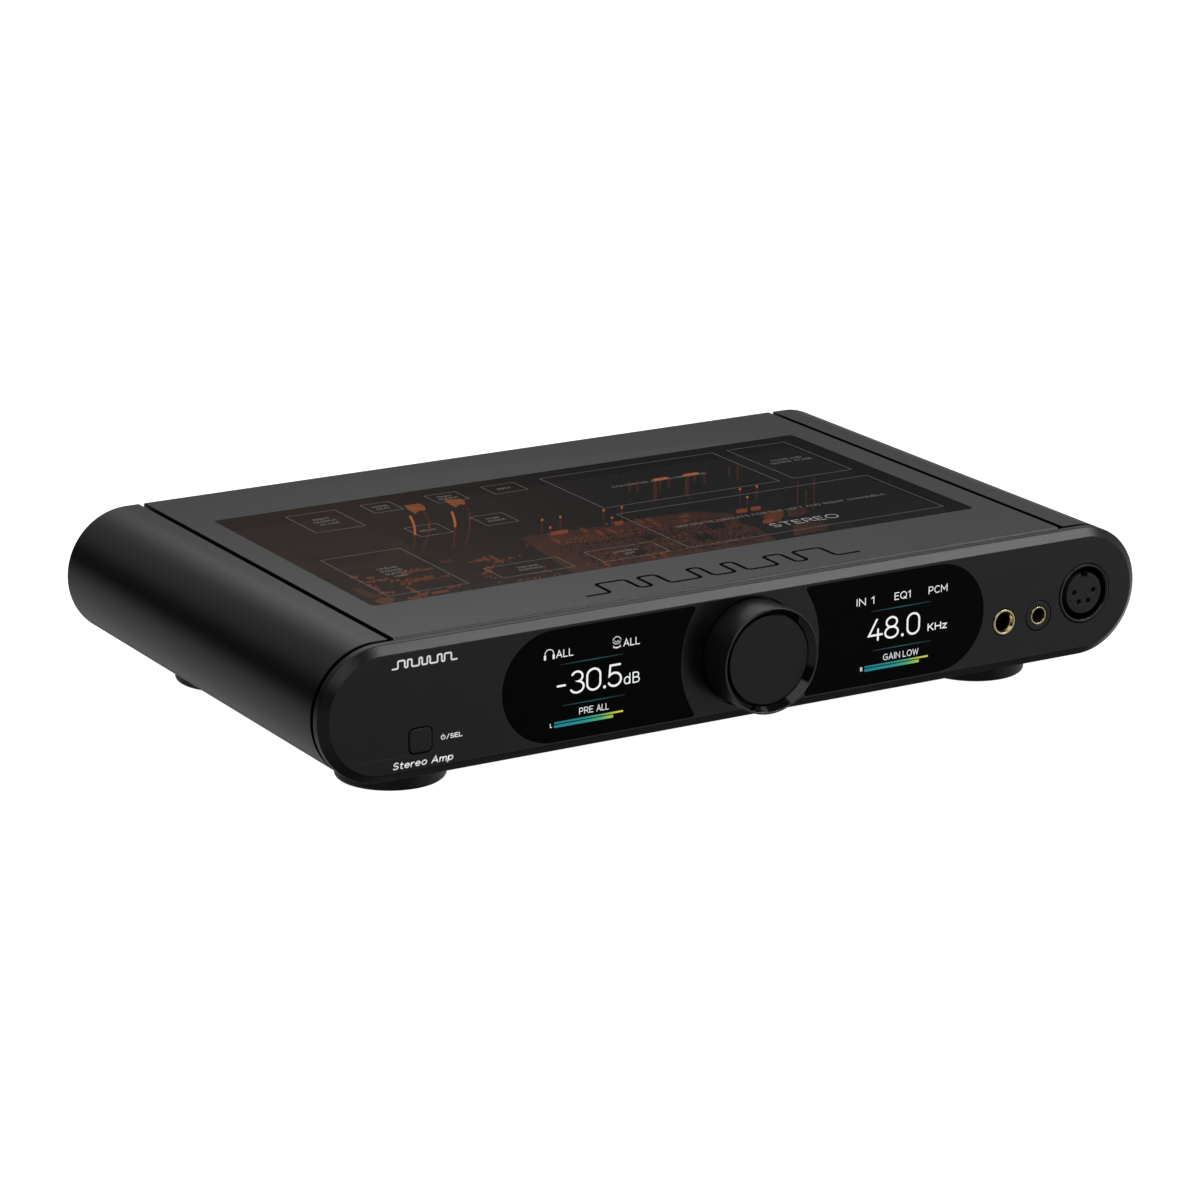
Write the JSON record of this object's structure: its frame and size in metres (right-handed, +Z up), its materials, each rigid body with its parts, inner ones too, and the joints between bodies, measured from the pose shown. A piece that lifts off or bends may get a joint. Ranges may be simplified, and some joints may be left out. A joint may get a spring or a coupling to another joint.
{
  "type": "desktop dac and headphone amplifier",
  "caption": "Low wide desktop audio converter and headphone amplifier with rounded ends, smoked top window, front displays, push-turn knob, headphone outlets and rear sockets.",
  "frame": {"origin": "on the surface under the feet, in the middle of the outside box", "axes": "+X to the right seen from the front, +Y towards the rear sockets, +Z up"},
  "size_m": [0.34, 0.2242, 0.0597],
  "materials": {
    "anodised_case": "dark grey anodised, fine bead-blasted satin",
    "front_panel_finish": "near-black anodised, satin",
    "knob_finish": "dark grey anodised, turned, with a polished rim",
    "smoked_glass": "smoked tempered glass, gloss",
    "display_glass": "black display cover, high gloss",
    "black_plastic": "black moulded plastic",
    "rubber_black": "matt rubber",
    "gold_plate": "gold plated, polished",
    "steel_plain": "plain steel",
    "steel_black": "black zinc or paint",
    "circuit_board": "black solder mask",
    "copper_winding": "copper windings under clear film",
    "beige_plastic": "natural moulded plastic",
    "tinned_steel": "tinned shield can"
  },
  "bodies": {
    "chassis": {"front_panel": "front_panel_finish", "top_cover": "anodised_case", "window_gasket": "rubber_black", "top_window": "smoked_glass", "left_side_shell": "anodised_case", "right_side_shell": "anodised_case", "bottom_plate": "anodised_case", "rear_panel": "anodised_case", "display_lens_left": "display_glass", "display_lens_right": "display_glass", "display_module_left": "black_plastic", "display_module_right": "black_plastic", "encoder_housing": "steel_plain", "encoder_nut": "steel_plain", "tact_switch_body": "black_plastic", "jack_635_bushing": "gold_plate", "jack_635_body": "black_plastic", "jack_44_collar": "black_plastic", "jack_44_bushing": "gold_plate", "jack_44_body": "black_plastic", "headphone_xlr_shell": "steel_black", "headphone_xlr_insert": "black_plastic", "front_board": "circuit_board", "jack_board": "circuit_board", "main_board": "circuit_board", "power_board": "circuit_board", "upper_board": "circuit_board", "toroidal_transformer": "copper_winding", "transformer_clamp": "steel_black", "reservoir_capacitor_left": "black_plastic", "reservoir_capacitor_right": "black_plastic", "amplifier_heatsink": "steel_black", "converter_shield": "tinned_steel", "mains_inlet": "black_plastic", "mains_switch_frame": "black_plastic", "xlr_out_left": "black_plastic", "xlr_out_right": "black_plastic", "phono_out_upper": "gold_plate", "phono_out_lower": "gold_plate", "coaxial_in": "gold_plate", "usb_socket": "steel_plain", "optical_socket": "black_plastic", "rear_screw_lower_left": "steel_black", "rear_screw_upper_left": "steel_black", "rear_screw_lower_right": "steel_black", "rear_screw_upper_right": "steel_black", "foot_front_left": "rubber_black", "foot_front_right": "rubber_black", "foot_rear_left": "rubber_black", "foot_rear_right": "rubber_black"},
    "encoder_spindle": {"encoder_rotor": "black_plastic"},
    "knob": {"volume_knob": "knob_finish", "knob_face_disc": "front_panel_finish", "knob_set_screw": "steel_black", "encoder_shaft": "steel_plain"},
    "push_plunger": {"encoder_push_plunger": "beige_plastic"},
    "select_key": {"select_button": "front_panel_finish"},
    "switch_stem": {"tact_switch_stem": "beige_plastic"},
    "power_rocker": {"mains_switch_rocker": "black_plastic"},
    "shutter": {"optical_flap": "black_plastic"}
  },
  "joints": [
    {"name": "volume_turn", "type": "hinge", "parent": "chassis", "child": "encoder_spindle", "pos_m": [0, -0.09035, 0.0356], "axis": [0, 1, 0], "continuous": true},
    {"name": "knob_push", "type": "slide", "parent": "encoder_spindle", "child": "knob", "axis": [0, 1, 0], "range_m": [0, 0.0005], "stiffness_N_per_m": 3000, "springref_m": -0.0003},
    {"name": "plunger_travel", "type": "slide", "parent": "chassis", "child": "push_plunger", "axis": [0, 1, 0], "range_m": [0, 0.0005]},
    {"name": "select_press", "type": "slide", "parent": "chassis", "child": "select_key", "axis": [0, 1, 0], "range_m": [0, 0.0005], "stiffness_N_per_m": 2500, "springref_m": -0.0003},
    {"name": "stem_travel", "type": "slide", "parent": "chassis", "child": "switch_stem", "axis": [0, 1, 0], "range_m": [0, 0.0005]},
    {"name": "mains_switch_tilt", "type": "hinge", "parent": "chassis", "child": "power_rocker", "pos_m": [-0.08, 0.09805, 0.0355], "axis": [-1, 0, 0], "range_deg": [0, 14]},
    {"name": "optical_flap_swing", "type": "hinge", "parent": "chassis", "child": "shutter", "pos_m": [-0.02, 0.10175, 0.0395], "axis": [-1, 0, 0], "range_deg": [0, 75], "stiffness_Nm_per_rad": 0.002, "springref_deg": -11.46}
  ],
  "couplings": [
    {"joint": "plunger_travel", "follows": "knob_push", "ratio": 1},
    {"joint": "stem_travel", "follows": "select_press", "ratio": 1}
  ]
}
